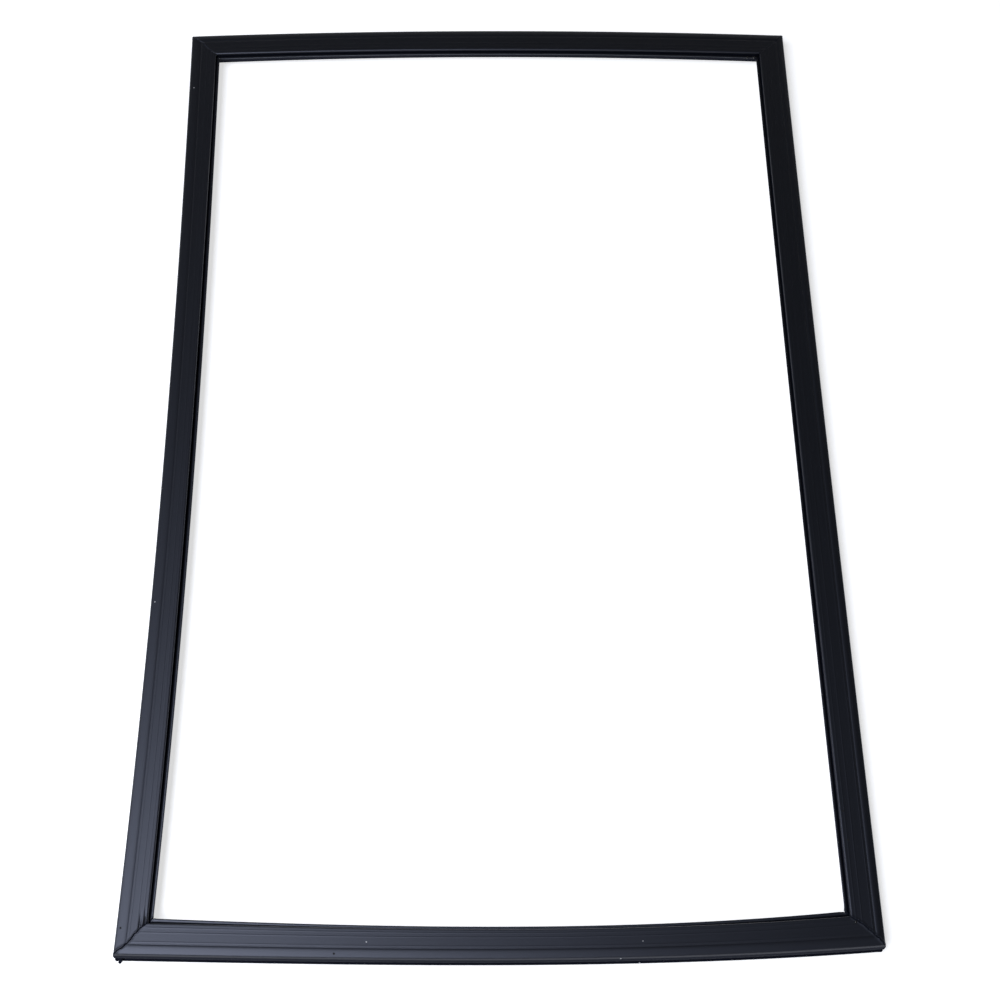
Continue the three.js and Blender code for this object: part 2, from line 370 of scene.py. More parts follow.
# %% [markdown]
# Node trees are long when every node is placed by hand. Small helpers keep them readable: one adds a node
# and wires its inputs in order, one writes a sum, and one a soft step. A socket given as an input is
# linked, and a plain value is set.

# %% Helpers for node trees
def put(tree, kind, *inputs, out=0, **settings):
    """Adds a node, sets or links its inputs in order, and gives back one of its outputs."""
    node = tree.nodes.new(kind)
    for name, value in settings.items():
        setattr(node, name, value)
    sockets = [s for s in node.inputs if s.enabled]
    for socket, value in zip(sockets, inputs):
        if isinstance(value, bpy.types.NodeSocket):
            tree.links.new(value, socket)
        elif value is not None:
            socket.default_value = value
    return node.outputs[out] if isinstance(out, str) else [s for s in node.outputs if s.enabled][out]


def sum_of(tree, operation, a, b=None, c=None):
    return put(tree, "ShaderNodeMath", a, b, c, operation=operation)


def soft_step(tree, value, low, high, first, last):
    """Goes smoothly from the first to the last result between two limits."""
    return put(tree, "ShaderNodeMapRange", value, low, high, first, last, interpolation_type="SMOOTHSTEP")


def group_input(tree, sockets):
    """Names the tree's inputs and gives back a dictionary of them."""
    for name, kind, value in sockets:
        socket = tree.interface.new_socket(name, in_out="INPUT", socket_type="NodeSocket" + kind)
        if value is not None:
            socket.default_value = value
    node = tree.nodes.new("NodeGroupInput")
    return {socket.name: socket for socket in node.outputs if socket.name}


def group_output(tree, **results):
    for name, (kind, _) in results.items():
        tree.interface.new_socket(name, in_out="OUTPUT", socket_type="NodeSocket" + kind)
    node = tree.nodes.new("NodeGroupOutput")
    for name, (_, socket) in results.items():
        tree.links.new(socket, node.inputs[name])


# %% [markdown]
# The frame follows a rule: four equal sections, mitred, each side limp enough to bow and to lean. So
# Geometry Nodes lay it. The tree takes the one drawn length, repeats it four times, and moves each point
# by what it remembers. On the real seal the lengths are cut at 45 degrees and pressed together hot. Here
# the two insets of a corner decide where a ring ends, which gives the mitre, and merging the points that
# meet is the weld. Each side has its own bow, with a drift to one end, and its own lean. Its groove may
# stray, its inner edge may be pushed in, by a shift, a slope and a curve along the side, and its fin may
# be shut a little in the middle. Sizes are in millimetres.

# %% Sides of the frame
FRAME = {"width": 590, "length": 900}
SIDES = {
    "Near": {"bow": 6.8, "drift": 0.35, "lean": -2.8, "shut": 1.9, "groove": -0.5,
             "edge": (0.0, -0.4, 0.4)},
    "Right": {"bow": -1.1, "drift": 0.0, "lean": 0.7, "shut": 0.0, "groove": -0.7,
              "edge": (2.6, 0.0, 0.0)},
    "Far": {"bow": 6.4, "drift": 0.0, "lean": -0.8, "shut": 0.0, "groove": 0.0,
            "edge": (2.4, 0.0, -1.4)},
    "Left": {"bow": -6.7, "drift": 0.2, "lean": -0.5, "shut": 0.0, "groove": 1.7,
             "edge": (0.3, -0.3, 2.0)},
}
WELD = {"Crease Depth": 0.85, "Crease Width": 0.75, "Roll Height": 0.3, "Wander": 1.2,
        "Pucker Depth": 0.8, "Pucker Length": 16}
# Each corner's strength scales its weld relief and also the painted shade in its crease.
WELD_STRENGTH = {"Near Left": 1.0, "Near Right": 0.75, "Far Right": 0.3, "Far Left": 0.35}
WELD_SEED = 4.0

# %% Inputs of the tree, in metres
frame_sizes = {
    "Width": FRAME["width"] * MM,
    "Length": FRAME["length"] * MM,
    "Base Height": base_under * MM,
    "Face Height": face_top * MM,
}
for side, shape in SIDES.items():
    frame_sizes[f"{side} Bow"] = shape["bow"] * MM
    frame_sizes[f"{side} Drift"] = shape["drift"]
    frame_sizes[f"{side} Lean"] = shape["lean"] * MM
    frame_sizes[f"{side} Fin Shut"] = shape["shut"] * MM
    frame_sizes[f"{side} Groove Shift"] = shape["groove"] * MM
    for part, value in zip(("Shift", "Slope", "Curve"), shape["edge"]):
        frame_sizes[f"{side} Edge {part}"] = value * MM
frame_sizes.update({name: value * MM for name, value in WELD.items()})
frame_sizes.update({f"{name} Weld": value for name, value in WELD_STRENGTH.items()})
frame_sizes["Seed"] = WELD_SEED
frame_sockets = [("Length Of Section", "Geometry", None)]
frame_sockets += [(name, "Float", value) for name, value in frame_sizes.items()]
frame_sockets += [("Skin", "Material", None)]
print("inputs of the frame's tree:", len(frame_sockets))


# %% Rule for the place of one point
GROOVE_ZONE = (2, 8.5, 17)
EDGE_ZONE = (14, 22.5)
FACE_MARGIN = 0.25
EDGE_MARGIN = 0.3
FIN_FOLLOWS = 0.6


def for_side(tree, index, values):
    """Picks one of four values by the number of the side."""
    node = tree.nodes.new("GeometryNodeIndexSwitch")
    node.data_type = "FLOAT"
    while len(node.index_switch_items) < 4:
        node.index_switch_items.new()
    tree.links.new(index, node.inputs["Index"])
    for i, value in enumerate(values):
        tree.links.new(value, node.inputs[i + 1])
    return node.outputs[0]


def remembered(tree, name, kind="FLOAT"):
    return put(tree, "GeometryNodeInputNamedAttribute", name, data_type=kind)


def pushed_parts(tree, inset, height):
    """How much of a point moves with the groove, and how much with the inner edge of the bulb."""
    start, peak, end = [value * MM for value in GROOVE_ZONE]
    rising = soft_step(tree, inset, start, peak, 0.0, 1.0)
    falling = soft_step(tree, inset, peak, end, 1.0, 0.0)
    on_top = sum_of(tree, "GREATER_THAN", height, (pocket_top + FACE_MARGIN) * MM)
    with_groove = sum_of(tree, "MULTIPLY", sum_of(tree, "MULTIPLY", rising, falling), on_top)
    inner_half = soft_step(tree, inset, EDGE_ZONE[0] * MM, EDGE_ZONE[1] * MM, 0.0, 1.0)
    raised = put(tree, "ShaderNodeMapRange", height, base_top * MM, chamber_top * MM, 0.0, 1.0)
    on_bulb = sum_of(tree, "LESS_THAN", inset, (bulb_inner + EDGE_MARGIN) * MM)
    bulb_part = sum_of(tree, "MULTIPLY", sum_of(tree, "MULTIPLY", inner_half, raised), on_bulb)
    with_edge = sum_of(tree, "MULTIPLY_ADD", remembered(tree, "fin"), FIN_FOLLOWS, bulb_part)
    return with_groove, with_edge


def place_on_side(tree, given):
    """Where a point goes, from its side, share, added length, inset and height."""
    side = remembered(tree, "side", "INT")
    inset = remembered(tree, "inset")
    height = remembered(tree, "height")
    over_base = sum_of(tree, "SUBTRACT", height, given["Base Height"])
    whole_rise = sum_of(tree, "SUBTRACT", given["Face Height"], given["Base Height"])
    rise = sum_of(tree, "DIVIDE", over_base, whole_rise)
    with_groove, with_edge = pushed_parts(tree, inset, height)

    def of_side(step, what):
        order = [list(SIDES)[(i + step) % 4] for i in range(4)]
        return for_side(tree, side, [given[f"{name} {what}"] for name in order])

    def inset_of(step, share):
        """The inset that the side before, the side itself or the side after gives this point."""
        edge = sum_of(tree, "MULTIPLY_ADD", of_side(step, "Edge Curve"), share, of_side(step, "Edge Slope"))
        edge = sum_of(tree, "MULTIPLY_ADD", edge, share, of_side(step, "Edge Shift"))
        pushed = sum_of(tree, "MULTIPLY_ADD", with_edge, edge, inset)
        pushed = sum_of(tree, "MULTIPLY_ADD", with_groove, of_side(step, "Groove Shift"), pushed)
        return sum_of(tree, "SUBTRACT", pushed, sum_of(tree, "MULTIPLY", of_side(step, "Lean"), rise))

    half_width = sum_of(tree, "MULTIPLY", given["Width"], 0.5)
    half_length = sum_of(tree, "MULTIPLY", given["Length"], 0.5)
    across = for_side(tree, side, [half_length, half_width, half_length, half_width])
    ahead = for_side(tree, side, [half_width, half_length, half_width, half_length])
    start = sum_of(tree, "SUBTRACT", inset_of(-1, 1.0), ahead)
    end = sum_of(tree, "SUBTRACT", ahead, inset_of(1, -1.0))
    run = sum_of(tree, "SUBTRACT", end, start)
    added = sum_of(tree, "DIVIDE", sum_of(tree, "MULTIPLY", remembered(tree, "added"), 2), run)
    share = sum_of(tree, "ADD", remembered(tree, "share"), added)
    along = sum_of(tree, "MULTIPLY_ADD", run, sum_of(tree, "MULTIPLY_ADD", share, 0.5, 0.5), start)
    arch = sum_of(tree, "SUBTRACT", 1, sum_of(tree, "MULTIPLY", share, share))
    skew = sum_of(tree, "MULTIPLY_ADD", of_side(0, "Drift"), share, 1)
    bulge = sum_of(tree, "MULTIPLY", sum_of(tree, "MULTIPLY", arch, skew), of_side(0, "Bow"))
    shut = sum_of(tree, "MULTIPLY", arch, remembered(tree, "fin"))
    shut = sum_of(tree, "MULTIPLY", of_side(0, "Fin Shut"), shut)
    outward = sum_of(tree, "ADD", sum_of(tree, "SUBTRACT", across, inset_of(0, share)), bulge)
    return side, along, sum_of(tree, "ADD", outward, shut), height


# %% [markdown]
# A hot weld is never a clean line. The melted ends wander a little to both sides of the mitre, they sink
# into a crease, and what is squeezed out stands beside it as a low roll. Where the walls were pressed too
# hard the face beside the weld puckers along the side. All of this fades out within a centimetre or two,
# and it is real geometry, so that it catches light from every side.

# %% Rule for the weld
END_SHARE = 0.99
WANDER = {"scale": 420.0, "detail": 3.0, "roughness": 0.6, "gain": 2.6, "corner_step": 7.3, "fades_in": 5}
ROLL = {"reach": 3.4, "gain": 2.6}
PUCKERS = {"insets": (18.0, 20.6), "half_width": 0.9, "side": 3, "face_margin": 0.1}
MASK_REACH = 2.0
WELD_GAP = 0.01


def at_far_end(tree):
    return sum_of(tree, "GREATER_THAN", remembered(tree, "share"), END_SHARE)


def weld_wander(tree, given, side, fade):
    """How far the seam strays along the frame, the same for both sides that meet in a corner."""
    at_end = at_far_end(tree)
    corner = sum_of(tree, "MODULO", sum_of(tree, "ADD", side, at_end), 4)
    place = sum_of(tree, "MULTIPLY_ADD", corner, WANDER["corner_step"], given["Seed"])
    spot = put(tree, "ShaderNodeCombineXYZ", remembered(tree, "inset"), remembered(tree, "height"), 0.0)
    noise = put(tree, "ShaderNodeTexNoise", spot, place, WANDER["scale"], WANDER["detail"],
                WANDER["roughness"], noise_dimensions="4D")
    stray = sum_of(tree, "MULTIPLY", sum_of(tree, "SUBTRACT", noise, 0.5), WANDER["gain"])
    stray = sum_of(tree, "MULTIPLY", sum_of(tree, "MULTIPLY", stray, given["Wander"]), fade)
    outward = sum_of(tree, "MULTIPLY", stray, sum_of(tree, "MULTIPLY_ADD", at_end, -2, 1))
    return stray, outward, corner, noise


def weld_relief(tree, given, side, distance, noise):
    """The height over the plain skin: crease, roll beside it and puckers."""
    width = given["Crease Width"]
    sunk = soft_step(tree, distance, 0.0, width, 1.0, 0.0)
    sunk = sum_of(tree, "MULTIPLY", sunk, given["Crease Depth"])
    far_edge = sum_of(tree, "MULTIPLY", width, ROLL["reach"])
    near_roll = soft_step(tree, distance, 0.0, width, 0.0, 1.0)
    far_roll = soft_step(tree, distance, width, far_edge, 1.0, 0.0)
    lumps = sum_of(tree, "MULTIPLY", sum_of(tree, "POWER", noise, 2), ROLL["gain"])
    roll = sum_of(tree, "MULTIPLY", sum_of(tree, "MULTIPLY", near_roll, far_roll), lumps)
    roll = sum_of(tree, "MULTIPLY", roll, given["Roll Height"])
    relief = sum_of(tree, "SUBTRACT", roll, sunk)
    fade = soft_step(tree, distance, 0.0, given["Pucker Length"], 1.0, 0.0)
    puckered = sum_of(tree, "COMPARE", side, PUCKERS["side"], 0.1)
    at_end = at_far_end(tree)
    lowest = (face_top - PUCKERS["face_margin"]) * MM
    on_face = sum_of(tree, "GREATER_THAN", remembered(tree, "height"), lowest)
    at_weld = sum_of(tree, "MULTIPLY", puckered, at_end)
    where = sum_of(tree, "MULTIPLY", at_weld, sum_of(tree, "MULTIPLY", fade, on_face))
    for inset in PUCKERS["insets"]:
        off = sum_of(tree, "SUBTRACT", remembered(tree, "inset"), inset * MM)
        off = sum_of(tree, "ABSOLUTE", off)
        valley = soft_step(tree, off, 0.0, PUCKERS["half_width"] * MM, 1.0, 0.0)
        depth = sum_of(tree, "MULTIPLY", sum_of(tree, "MULTIPLY", valley, where), given["Pucker Depth"])
        relief = sum_of(tree, "SUBTRACT", relief, depth)
    return relief


# %% Tree that lays the welded frame
def frame_tree():
    tree = bpy.data.node_groups.new("lay_welded_frame", "GeometryNodeTree")
    tree.is_modifier = True
    given = group_input(tree, frame_sockets)
    spots = put(tree, "GeometryNodePoints", 4)
    copies = put(tree, "GeometryNodeInstanceOnPoints", spots, True, given["Length Of Section"])
    number = put(tree, "GeometryNodeInputIndex")
    copies = put(tree, "GeometryNodeStoreNamedAttribute", copies, True, "side", number,
                 data_type="INT", domain="INSTANCE")
    lengths = put(tree, "GeometryNodeRealizeInstances", copies)
    side, along, outward, height = place_on_side(tree, given)
    distance = sum_of(tree, "ABSOLUTE", remembered(tree, "added"))
    not_end = sum_of(tree, "LESS_THAN", sum_of(tree, "ABSOLUTE", remembered(tree, "share")), END_SHARE)
    distance = sum_of(tree, "ADD", distance, not_end)
    fade = soft_step(tree, distance, 0.0, WANDER["fades_in"] * MM, 1.0, 0.0)
    stray, stray_out, corner, noise = weld_wander(tree, given, side, fade)
    along = sum_of(tree, "ADD", along, stray)
    outward = sum_of(tree, "ADD", outward, stray_out)
    flat = put(tree, "ShaderNodeCombineXYZ", along, sum_of(tree, "MULTIPLY", outward, -1), height)
    turn = sum_of(tree, "MULTIPLY", side, pi / 2)
    place = put(tree, "ShaderNodeVectorRotate", flat, (0, 0, 0), turn, rotation_type="Z_AXIS")
    relief = weld_relief(tree, given, side, distance, noise)
    strength = for_side(tree, corner, [given[f"{name} Weld"] for name in WELD_STRENGTH])
    # The weld mask, stored as "weld", later darkens the skin's colour as painted shade in the crease, and
    # dulls it.
    mask_edge = sum_of(tree, "MULTIPLY", given["Crease Width"], MASK_REACH)
    mask = put(tree, "ShaderNodeMapRange", distance, 0.0, mask_edge, 1.0, 0.0)
    mask = sum_of(tree, "MULTIPLY", mask, strength)
    relief = sum_of(tree, "MULTIPLY", relief, strength)
    lengths = put(tree, "GeometryNodeStoreNamedAttribute", lengths, True, "relief", relief,
                  data_type="FLOAT", domain="POINT")
    lengths = put(tree, "GeometryNodeStoreNamedAttribute", lengths, True, "weld", mask,
                  data_type="FLOAT", domain="POINT")
    laid = put(tree, "GeometryNodeSetPosition", lengths, True, place)
    welded = put(tree, "GeometryNodeMergeByDistance", laid, True, WELD_GAP * MM)
    normal = put(tree, "GeometryNodeInputNormal")
    lift = put(tree, "ShaderNodeVectorMath", normal, remembered(tree, "relief"), operation="SCALE")
    pressed = put(tree, "GeometryNodeSetPosition", welded, True, None, lift)
    whole = put(tree, "GeometryNodeRealizeInstances", pressed)
    skinned = put(tree, "GeometryNodeSetMaterial", whole, True, given["Skin"])
    group_output(tree, Frame=("Geometry", skinned))
    return tree


# %% Lay the frame and make it a plain mesh
def plain_mesh(piece, tree, values):
    """Runs a tree on a piece, keeps the result as the piece's own mesh and takes the modifier off."""
    modifier = piece.modifiers.new(tree.name, "NODES")
    modifier.node_group = tree
    for item in tree.interface.items_tree:
        if item.in_out == "INPUT" and item.name in values:
            modifier[item.identifier] = values[item.name]
    bpy.context.view_layer.update()
    evaluated = piece.evaluated_get(bpy.context.evaluated_depsgraph_get())
    mesh = bpy.data.meshes.new_from_object(evaluated)
    piece.modifiers.remove(modifier)
    piece.data = mesh
    mesh.name = piece.name
    return mesh


SHARP_TURN = radians(38)

skin = bpy.data.materials.new("satin_black_pvc")
seal = bpy.data.objects.new("gasket_frame", length_mesh)
bpy.context.scene.collection.objects.link(seal)
mesh = plain_mesh(seal, frame_tree(), {**frame_sizes, "Skin": skin})
low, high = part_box("seal_frame")
xs = [v.co.x for v in mesh.vertices]
ys = [v.co.y for v in mesh.vertices]
shift = Vector(((low.x + high.x - min(xs) - max(xs)) / 2, (low.y + high.y - min(ys) - max(ys)) / 2, 0))
for vertex in mesh.vertices:
    vertex.co += shift
mesh.shade_smooth()
mesh.set_sharp_from_angle(angle=SHARP_TURN)
print("frame:", len(mesh.polygons), "faces, moved by", [round(value / MM, 2) for value in shift], "mm")

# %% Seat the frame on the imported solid
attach(seal, "root")
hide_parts("seal_frame")

# %% [markdown]
# Soft PVC is filled with carbon black and a little oil. It is almost black, with a satin sheen, and the blue
# that the sheen leans to is painted light: a tint of its reflection that stands for the colour of a cool
# light.
# The die leaves fine lines along each length, and handling leaves a faint haze. A flat colour would look like
# paint, so two shader groups make those marks as masks, and the material mixes them into its colour, its
# roughness and its relief. A thin coat carries most of the sheen. It is left off the welds and the flanks
# below the face, which are rougher as well. On the flanks this is painted shade, for the dim floor and the
# contact shadow that they would mirror, and at the welds the colour is darkened too, as painted shade in the
# crease.

# %% Group for the lines that the die draws
def drawn_lines_group():
    tree = bpy.data.node_groups.new("drawn_lines", "ShaderNodeTree")
    given = group_input(tree, [("Drawn Place", "Vector", None), ("Lines Per Metre", "Float", 900.0)])
    wave = put(tree, "ShaderNodeCombineXYZ", 2.5, given["Lines Per Metre"], 0.0)
    stretched = put(tree, "ShaderNodeVectorMath", given["Drawn Place"], wave, operation="MULTIPLY")
    lines = put(tree, "ShaderNodeTexNoise", stretched, None, 1.0, 2.0, 0.55)
    mask = put(tree, "ShaderNodeMapRange", lines, 0.32, 0.68, 0.0, 1.0)
    group_output(tree, Lines=("Float", mask))
    return tree


# %% Group for the haze of handling
def haze_group():
    tree = bpy.data.node_groups.new("handling_haze", "ShaderNodeTree")
    given = group_input(tree, [("Place", "Vector", None), ("Patch Size", "Float", 0.05)])
    scale = sum_of(tree, "DIVIDE", 1.0, given["Patch Size"])
    broad = put(tree, "ShaderNodeTexNoise", given["Place"], None, scale, 4.0, 0.62)
    haze = put(tree, "ShaderNodeMapRange", broad, 0.42, 0.72, 0.0, 1.0)
    fine = put(tree, "ShaderNodeTexNoise", given["Place"], None, 2600.0, 2.0, 0.6)
    group_output(tree, Haze=("Float", haze), Grain=("Float", fine))
    return tree


drawn_lines = drawn_lines_group()
haze = haze_group()


# %% Material of the soft PVC
PVC_DARK = (0.0022, 0.0024, 0.0030, 1)
PVC_HAZED = (0.0044, 0.0048, 0.0062, 1)
# Painted light: the blue tint of the reflection stands for the colour of a cool light.
PAINTED_COOL_LIGHT_TINT = (0.42, 0.54, 1.0, 1)
PVC = {"lines": 900.0, "patch": 0.06, "rough": 0.40, "dull": 0.4, "ior": 1.35, "coat_ior": 1.42,
       "coat_rough": 0.40, "bump": 0.28, "bump_depth": 0.00006}
# Heights in mm over which the painted shade of the flanks fades out.
FLANK_HEIGHTS = (15.0, 16.8)
LIP_SHARES = (0.72, 0.95)


def use_group(tree, group, *inputs):
    node = tree.nodes.new("ShaderNodeGroup")
    node.node_tree = group
    for socket, value in zip(node.inputs, inputs):
        if isinstance(value, bpy.types.NodeSocket):
            tree.links.new(value, socket)
        else:
            socket.default_value = value
    return node.outputs


def new_tree(material):
    material.use_nodes = True
    material.node_tree.nodes.clear()
    return material.node_tree


def finish(tree, shader):
    tree.links.new(shader, tree.nodes.new("ShaderNodeOutputMaterial").inputs["Surface"])


def build_pvc(material):
    tree = new_tree(material)
    drawn = put(tree, "ShaderNodeUVMap", uv_map="drawn")
    place = put(tree, "ShaderNodeTexCoord", out="Object")
    lines = use_group(tree, drawn_lines, drawn, PVC["lines"])["Lines"]
    broad = use_group(tree, haze, place, PVC["patch"])
    weld = put(tree, "ShaderNodeAttribute", attribute_name="weld", out="Fac")
    tone = sum_of(tree, "MULTIPLY_ADD", lines, 0.35, sum_of(tree, "MULTIPLY", broad["Haze"], 0.5))
    # Painted shade: along the weld the colour goes to its darkest, for the shadow in the crease.
    tone = sum_of(tree, "MULTIPLY", tone, sum_of(tree, "SUBTRACT", 1.0, weld))
    colour = put(tree, "ShaderNodeMix", tone, PVC_DARK, PVC_HAZED, data_type="RGBA")
    rough = sum_of(tree, "MULTIPLY_ADD", lines, 0.05, PVC["rough"])
    rough = sum_of(tree, "MULTIPLY_ADD", broad["Haze"], 0.06, rough)
    # Painted shade: below the face the flanks lose their coat and grow rougher, for the dim floor and the
    # contact shadow that they would mirror. The top of the fin keeps its coat.
    height = put(tree, "ShaderNodeAttribute", attribute_name="height", out="Fac")
    low_down = put(tree, "ShaderNodeMapRange", height, FLANK_HEIGHTS[0] * MM, FLANK_HEIGHTS[1] * MM, 1.0, 0.0)
    up_fin = put(tree, "ShaderNodeAttribute", attribute_name="fin", out="Fac")
    not_lip = put(tree, "ShaderNodeMapRange", up_fin, *LIP_SHARES, 1.0, 0.0)
    flank_painted_shade = sum_of(tree, "MULTIPLY", low_down, not_lip)
    dull = sum_of(tree, "MAXIMUM", weld, flank_painted_shade)
    rough = sum_of(tree, "MULTIPLY_ADD", dull, PVC["dull"], rough)
    coat_where_unshaded = sum_of(tree, "SUBTRACT", 1.0, dull)
    relief = sum_of(tree, "MULTIPLY_ADD", lines, 0.6, sum_of(tree, "MULTIPLY", broad["Grain"], 0.4))
    normal = put(tree, "ShaderNodeBump", PVC["bump"], PVC["bump_depth"], None, relief)
    shader = tree.nodes.new("ShaderNodeBsdfPrincipled")
    tree.links.new(colour, shader.inputs["Base Color"])
    tree.links.new(rough, shader.inputs["Roughness"])
    tree.links.new(normal, shader.inputs["Normal"])
    tree.links.new(coat_where_unshaded, shader.inputs["Coat Weight"])
    shader.inputs["Coat IOR"].default_value = PVC["coat_ior"]
    shader.inputs["Coat Roughness"].default_value = PVC["coat_rough"]
    shader.inputs["IOR"].default_value = PVC["ior"]
    shader.inputs["Specular Tint"].default_value = PAINTED_COOL_LIGHT_TINT
    finish(tree, shader.outputs[0])


build_pvc(skin)
print("PVC nodes:", len(skin.node_tree.nodes))

# %% [markdown]
# A seal that has been handled carries a few specks of lint, and a few dull marks where something rubbed.
# At the welds a little plastic is squeezed out: shiny lumps on the face, and flash that hangs at the outer
# corner. All four are the same small bead, laid on chosen points and flattened, so one tree makes them.
# Lint, marks and lumps are dropped on the skin from above, and the flash has its own heights. Painted into
# the material they would have no height, and no edge to catch the light.

# %% Tree that lays beads on points
BEAD_SEED = 3


def bead_tree():
    tree = bpy.data.node_groups.new("lay_beads", "GeometryNodeTree")
    tree.is_modifier = True
    given = group_input(tree, [
        ("Spots", "Geometry", None),
        ("Radius", "Float", 0.6 * MM),
        ("Flatness", "Float", 0.3),
        ("Seed", "Int", BEAD_SEED),
        ("Skin", "Material", None),
    ])
    bead = put(tree, "GeometryNodeMeshUVSphere", 8, 6, given["Radius"])
    squash = put(tree, "ShaderNodeCombineXYZ", 1.0, 1.0, given["Flatness"])
    size = put(tree, "FunctionNodeRandomValue", 0.65, 1.25, None, given["Seed"], data_type="FLOAT")
    scale = put(tree, "ShaderNodeVectorMath", squash, size, operation="SCALE")
    copies = put(tree, "GeometryNodeInstanceOnPoints", given["Spots"], True, bead, False, None, None, scale)
    whole = put(tree, "GeometryNodeRealizeInstances", copies)
    skinned = put(tree, "GeometryNodeSetMaterial", whole, True, given["Skin"])
    group_output(tree, Beads=("Geometry", skinned))
    return tree


# %% Lint, marks and weld flash
LINT = [(-288.3, 383.5), (-284.7, -158.5), (-102.5, -439.6), (91.2, -453.8), (106.3, -455.5),
        (108.6, -441.3)]
MARKS = [(-127, -448), (-263.5, 91), (272.5, -341.8), (274, -365), (-290.3, -426.9)]
FLASH = [(-289.6, -449.4, 8.4), (-290.7, -450.6, 7.2), (-286.5, 447.5, 8.0), (287.0, 447.2, 8.0)]
LUMPS = [(273.2, -428.8), (256.7, 419.6), (263.2, 419.6), (-265.9, 422.3)]
DROP_FROM = 0.05
skin_under = BVHTree.FromPolygons([v.co for v in mesh.vertices], [p.vertices for p in mesh.polygons])


def dropped(spots):
    """The spots, in metres, let down on the skin from above."""
    landed = []
    for x, y in spots:
        hit = skin_under.ray_cast(Vector((x * MM, y * MM, DROP_FROM)), Vector((0, 0, -1)))[0]
        landed.append(hit if hit else Vector((x * MM, y * MM, face_top * MM)))
    return landed


def lay_beads(name, points, material, radius, flatness):
    spots = bpy.data.meshes.new(name)
    spots.from_pydata(points, [], [])
    piece = bpy.data.objects.new(name, spots)
    bpy.context.scene.collection.objects.link(piece)
    sizes = {"Radius": radius * MM, "Flatness": flatness, "Seed": BEAD_SEED, "Skin": material}
    laid = plain_mesh(piece, beads, sizes)
    laid.shade_smooth()
    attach(piece, "root")
    print(name + ":", len(laid.polygons), "faces")


def dull_material(name, dark, pale, rough):
    """A matt stain or fibre whose tone wanders a little."""
    material = bpy.data.materials.new(name)
    tree = new_tree(material)
    place = put(tree, "ShaderNodeTexCoord", out="Object")
    fleck = put(tree, "ShaderNodeTexNoise", place, None, 1800.0, 3.0, 0.6)
    colour = put(tree, "ShaderNodeMix", fleck, dark, pale, data_type="RGBA")
    shader = tree.nodes.new("ShaderNodeBsdfPrincipled")
    tree.links.new(colour, shader.inputs["Base Color"])
    shader.inputs["Roughness"].default_value = rough
    tree.links.new(put(tree, "ShaderNodeBump", 0.3, 0.00005, None, fleck), shader.inputs["Normal"])
    finish(tree, shader.outputs[0])
    return material


beads = bead_tree()
lint = dull_material("grey_lint", (0.30, 0.30, 0.31, 1), (0.62, 0.62, 0.63, 1), 0.9)
rubbed = dull_material("rubbed_mark", (0.0015, 0.0015, 0.0018, 1), (0.004, 0.004, 0.005, 1), 0.95)
melted = dull_material("melted_pvc", (0.002, 0.002, 0.003, 1), (0.006, 0.006, 0.008, 1), 0.16)
lay_beads("melted_lumps", dropped(LUMPS), melted, 1.0, 0.6)
lay_beads("lint_specks", dropped(LINT), lint, 0.5, 0.25)
lay_beads("rubbed_marks", dropped(MARKS), rubbed, 0.8, 0.15)
lay_beads("weld_flash", [Vector(spot) * MM for spot in FLASH], skin, 1.3, 0.9)

# %% [markdown]
# The magnetic strips are ferrite powder in rubber, rolled flat and cut square. They stay as the packed
# solids, because their shape is right. They lie out of sight in the pocket, yet a view from below or a
# cut shows them, so they get the dull brown black of ferrite with its fine speckle.

# %% Material of the magnetic strips
FERRITE_DARK = (0.012, 0.010, 0.009, 1)
FERRITE_PALE = (0.045, 0.038, 0.033, 1)
FERRITE_PATCH = 0.02
FERRITE_ROUGH = 0.66


def build_ferrite():
    material = bpy.data.materials.new("ferrite_rubber")
    tree = new_tree(material)
    place = put(tree, "ShaderNodeTexCoord", out="Object")
    speckle = put(tree, "ShaderNodeTexNoise", place, None, 3200.0, 3.0, 0.6)
    broad = use_group(tree, haze, place, FERRITE_PATCH)
    tone = sum_of(tree, "MULTIPLY_ADD", speckle, 0.6, sum_of(tree, "MULTIPLY", broad["Haze"], 0.4))
    colour = put(tree, "ShaderNodeMix", tone, FERRITE_DARK, FERRITE_PALE, data_type="RGBA")
    rough = sum_of(tree, "MULTIPLY_ADD", broad["Haze"], 0.12, FERRITE_ROUGH)
    normal = put(tree, "ShaderNodeBump", 0.3, 0.00005, None, speckle)
    shader = tree.nodes.new("ShaderNodeBsdfPrincipled")
    tree.links.new(colour, shader.inputs["Base Color"])
    tree.links.new(rough, shader.inputs["Roughness"])
    tree.links.new(normal, shader.inputs["Normal"])
    finish(tree, shader.outputs[0])
    return material


ferrite = build_ferrite()
for name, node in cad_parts.items():
    if name.startswith("magnet_strip"):
        node.data.materials.clear()
        node.data.materials.append(ferrite)

# %% [markdown]
# The studio is a pale floor that rises into a wall all round, one large soft lamp and a dim room. A lamp
# above would light the whole seal evenly. The real sheen is strong at the near left corner and dies away
# towards the far and the right side, so the lamp hangs on the left, where that corner mirrors it.

# %% Floor and wall
FLOOR_RADIUS = 6.0
WALL_RADIUS = 8.0
WALL_HEIGHT = 3.5
BEND_STEPS = 8
SPOKES = 96
FLOOR_GAP = 0.0005
FLOOR_COLOUR = (0.80, 0.80, 0.80, 1)
FLOOR_GLOW = 0.66


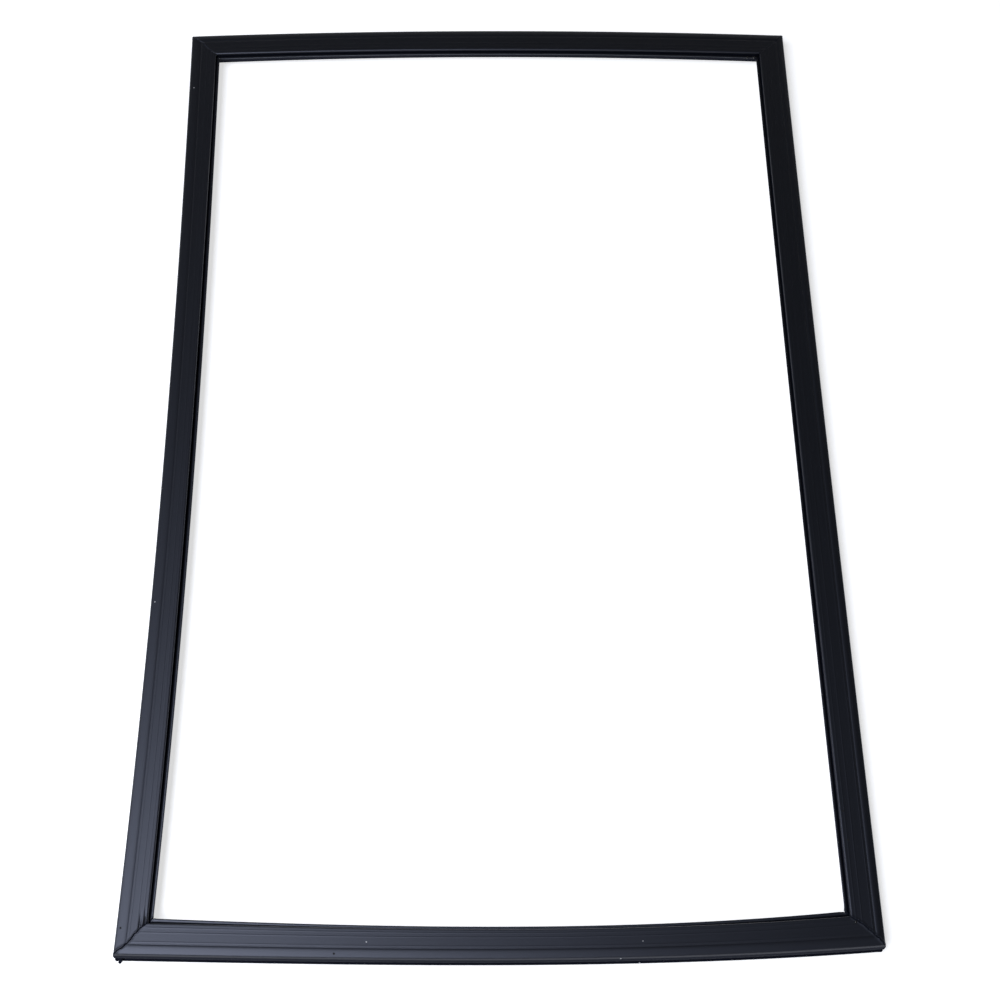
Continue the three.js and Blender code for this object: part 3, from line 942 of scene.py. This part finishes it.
def studio_floor():
    bend = WALL_RADIUS - FLOOR_RADIUS
    profile = [(0.0, 0.0), (FLOOR_RADIUS, 0.0)]
    for i in range(1, BEND_STEPS + 1):
        turn = pi / 2 * i / BEND_STEPS
        profile.append((FLOOR_RADIUS + bend * sin(turn), bend * (1 - cos(turn))))
    profile.append((WALL_RADIUS, WALL_HEIGHT))
    spokes = [(cos(2 * pi * k / SPOKES), sin(2 * pi * k / SPOKES)) for k in range(SPOKES)]
    points = [(0, 0, 0)]
    for radius, z in profile[1:]:
        points += [(radius * x, radius * y, z) for x, y in spokes]
    faces = [(0, 1 + k, 1 + (k + 1) % SPOKES) for k in range(SPOKES)]
    for ring in range(len(profile) - 2):
        a, b = 1 + ring * SPOKES, 1 + (ring + 1) * SPOKES
        faces += [(a + k, b + k, b + (k + 1) % SPOKES, a + (k + 1) % SPOKES) for k in range(SPOKES)]
    mesh = bpy.data.meshes.new("studio_floor")
    mesh.from_pydata(points, [], faces)
    mesh.shade_smooth()
    return mesh


def build_floor_material():
    material = bpy.data.materials.new("pale_floor")
    tree = new_tree(material)
    path = tree.nodes.new("ShaderNodeLightPath")
    seen = sum_of(tree, "MAXIMUM", path.outputs["Is Camera Ray"], path.outputs["Is Glossy Ray"])
    seen = sum_of(tree, "MAXIMUM", seen, path.outputs["Is Transmission Ray"])
    shader = tree.nodes.new("ShaderNodeBsdfPrincipled")
    shader.inputs["Base Color"].default_value = FLOOR_COLOUR
    shader.inputs["Roughness"].default_value = 0.9
    shader.inputs["Specular IOR Level"].default_value = 0.0
    shader.inputs["Emission Color"].default_value = (1, 1, 1, 1)
    tree.links.new(sum_of(tree, "MULTIPLY", seen, FLOOR_GLOW), shader.inputs["Emission Strength"])
    finish(tree, shader.outputs[0])
    return material


floor = bpy.data.objects.new("studio_floor", studio_floor())
bpy.context.scene.collection.objects.link(floor)
floor.data.materials.append(build_floor_material())
floor.location.z = -FLOOR_GAP

# %% Lamp and room
LAMP_PLACE = Vector((-1.16, -1.08, 2.1))
LAMP_AIM = Vector((-1.16, -1.08, 0))
LAMP_SIZE = (1.7, 2.4)
LAMP_POWER = 92
LAMP_COLOUR = (0.86, 0.90, 1.0)
ROOM_COLOUR = (0.95, 0.97, 1.0, 1)
ROOM_STRENGTH = 0.045

light = bpy.data.lights.new("key_lamp", "AREA")
light.shape = "RECTANGLE"
light.size, light.size_y = LAMP_SIZE
light.energy = LAMP_POWER
light.color = LAMP_COLOUR
lamp = bpy.data.objects.new("key_lamp", light)
bpy.context.scene.collection.objects.link(lamp)
lamp.location = LAMP_PLACE
lamp.rotation_euler = (LAMP_AIM - LAMP_PLACE).to_track_quat("-Z", "Y").to_euler()

world = bpy.data.worlds.new("dim_room")
bpy.context.scene.world = world
world.use_nodes = True
background = world.node_tree.nodes["Background"]
background.inputs["Color"].default_value = ROOM_COLOUR
background.inputs["Strength"].default_value = ROOM_STRENGTH
bpy.context.scene.view_settings.view_transform = "Standard"
